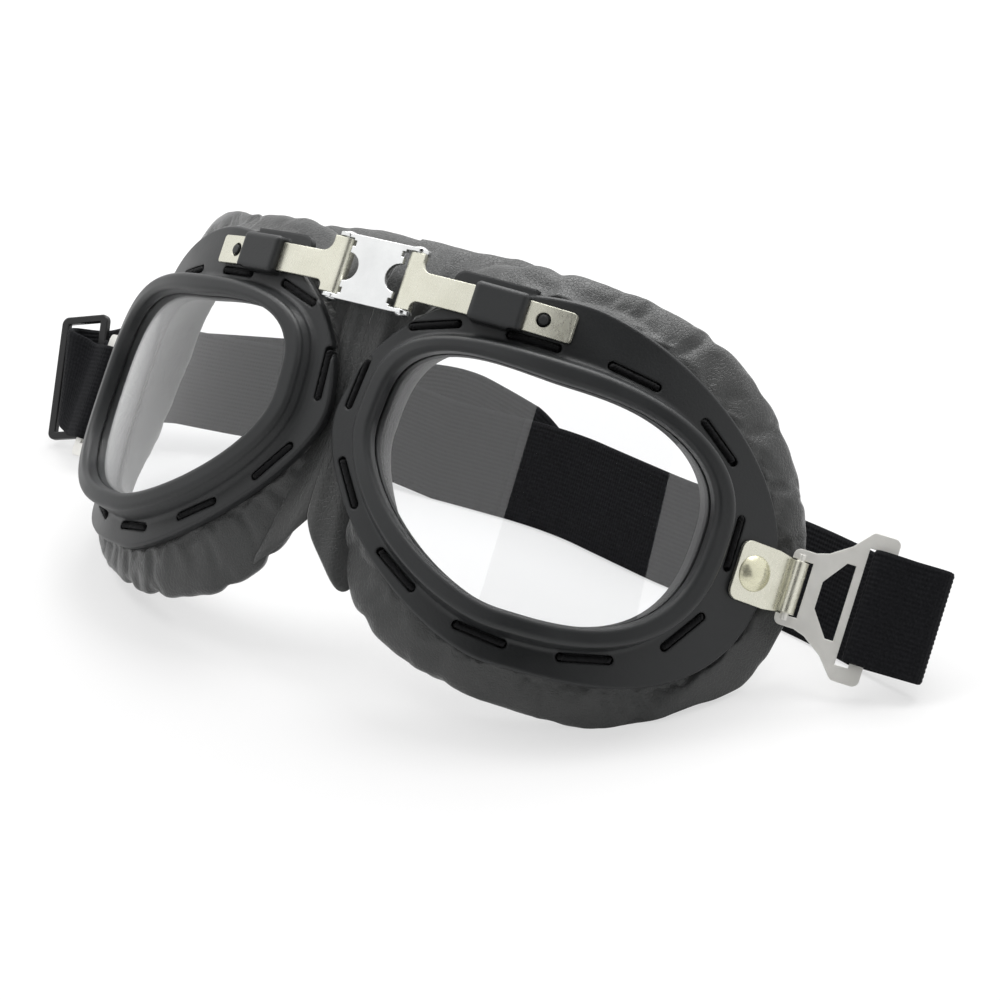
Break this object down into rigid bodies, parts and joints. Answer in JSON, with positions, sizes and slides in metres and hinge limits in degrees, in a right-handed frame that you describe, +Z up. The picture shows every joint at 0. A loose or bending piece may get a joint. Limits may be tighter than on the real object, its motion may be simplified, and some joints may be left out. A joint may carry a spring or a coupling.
{
  "type": "aviator goggles",
  "caption": "Folding aviator-style goggles: two laced eyecups with bent clear lenses and padded leather, joined by a hinged metal bridge, with an elastic strap on swivelling buckles.",
  "frame": {"origin": "middle of the bounding box, on the table", "axes": "+X to the right seen from the front, +Y towards the strap at the back, +Z up; the goggles lean back as they stand"},
  "size_m": [0.2562, 0.1024, 0.0874],
  "materials": {
    "bright_chrome": "polished",
    "pale_nickel": "satin",
    "warm_nickel": "satin",
    "dark_rubber": "matte",
    "clear_lens": "polished",
    "black_leather": "soft satin",
    "grey_foam": "matte",
    "black_cord": "matte",
    "black_elastic": "ribbed matte",
    "black_slider": "satin"
  },
  "bodies": {
    "bridge": {"bridge_plate": "bright_chrome", "left_hinge_pin": "bright_chrome", "right_hinge_pin": "bright_chrome", "nose_saddle": "black_leather", "strap_back": "black_elastic", "strap_tail": "black_elastic"},
    "left_eyecup": {"left_bridge_arm": "pale_nickel", "left_eyecup_frame": "dark_rubber", "left_lens": "clear_lens", "left_lacing": "black_cord", "left_leather_cover": "black_leather", "left_foam_pad": "grey_foam", "left_strap_bracket": "pale_nickel", "left_bracket_rivet": "warm_nickel", "left_rivet_washer": "pale_nickel"},
    "right_eyecup": {"right_bridge_arm": "pale_nickel", "right_eyecup_frame": "dark_rubber", "right_lens": "clear_lens", "right_lacing": "black_cord", "right_leather_cover": "black_leather", "right_foam_pad": "grey_foam", "right_strap_bracket": "pale_nickel", "right_bracket_rivet": "warm_nickel", "right_rivet_washer": "pale_nickel"},
    "left_buckle_body": {"left_buckle": "pale_nickel", "strap_left_end": "black_elastic"},
    "right_buckle_body": {"right_buckle": "pale_nickel", "strap_right_end": "black_elastic"},
    "slider_body": {"strap_slider": "black_slider"}
  },
  "joints": [
    {"name": "right_fold", "type": "hinge", "parent": "bridge", "child": "right_eyecup", "pos_m": [0.01461, -0.01207, 0.07976], "axis": [0, 0.6088, 0.7934], "range_deg": [-6, 14], "stiffness_Nm_per_rad": 0.4, "deforming": ["strap_right_end", "strap_back"]},
    {"name": "left_fold", "type": "hinge", "parent": "bridge", "child": "left_eyecup", "pos_m": [-0.00409, -0.01207, 0.07976], "axis": [0, -0.6088, -0.7934], "range_deg": [-6, 14], "stiffness_Nm_per_rad": 0.4, "deforming": ["strap_left_end", "strap_tail"]},
    {"name": "right_buckle_swing", "type": "hinge", "parent": "right_eyecup", "child": "right_buckle_body", "pos_m": [0.09942, 0.00375, 0.02085], "axis": [0, 0.6088, 0.7934], "range_deg": [-35, 45], "stiffness_Nm_per_rad": 0.03},
    {"name": "left_buckle_swing", "type": "hinge", "parent": "left_eyecup", "child": "left_buckle_body", "pos_m": [-0.0889, 0.00375, 0.02085], "axis": [0, -0.6088, -0.7934], "range_deg": [-35, 45], "stiffness_Nm_per_rad": 0.03},
    {"name": "slider_travel", "type": "slide", "parent": "left_buckle_body", "child": "slider_body", "axis": [-0.9991, 0.0328, -0.0252], "range_m": [-0.006, 0.004]}
  ]
}
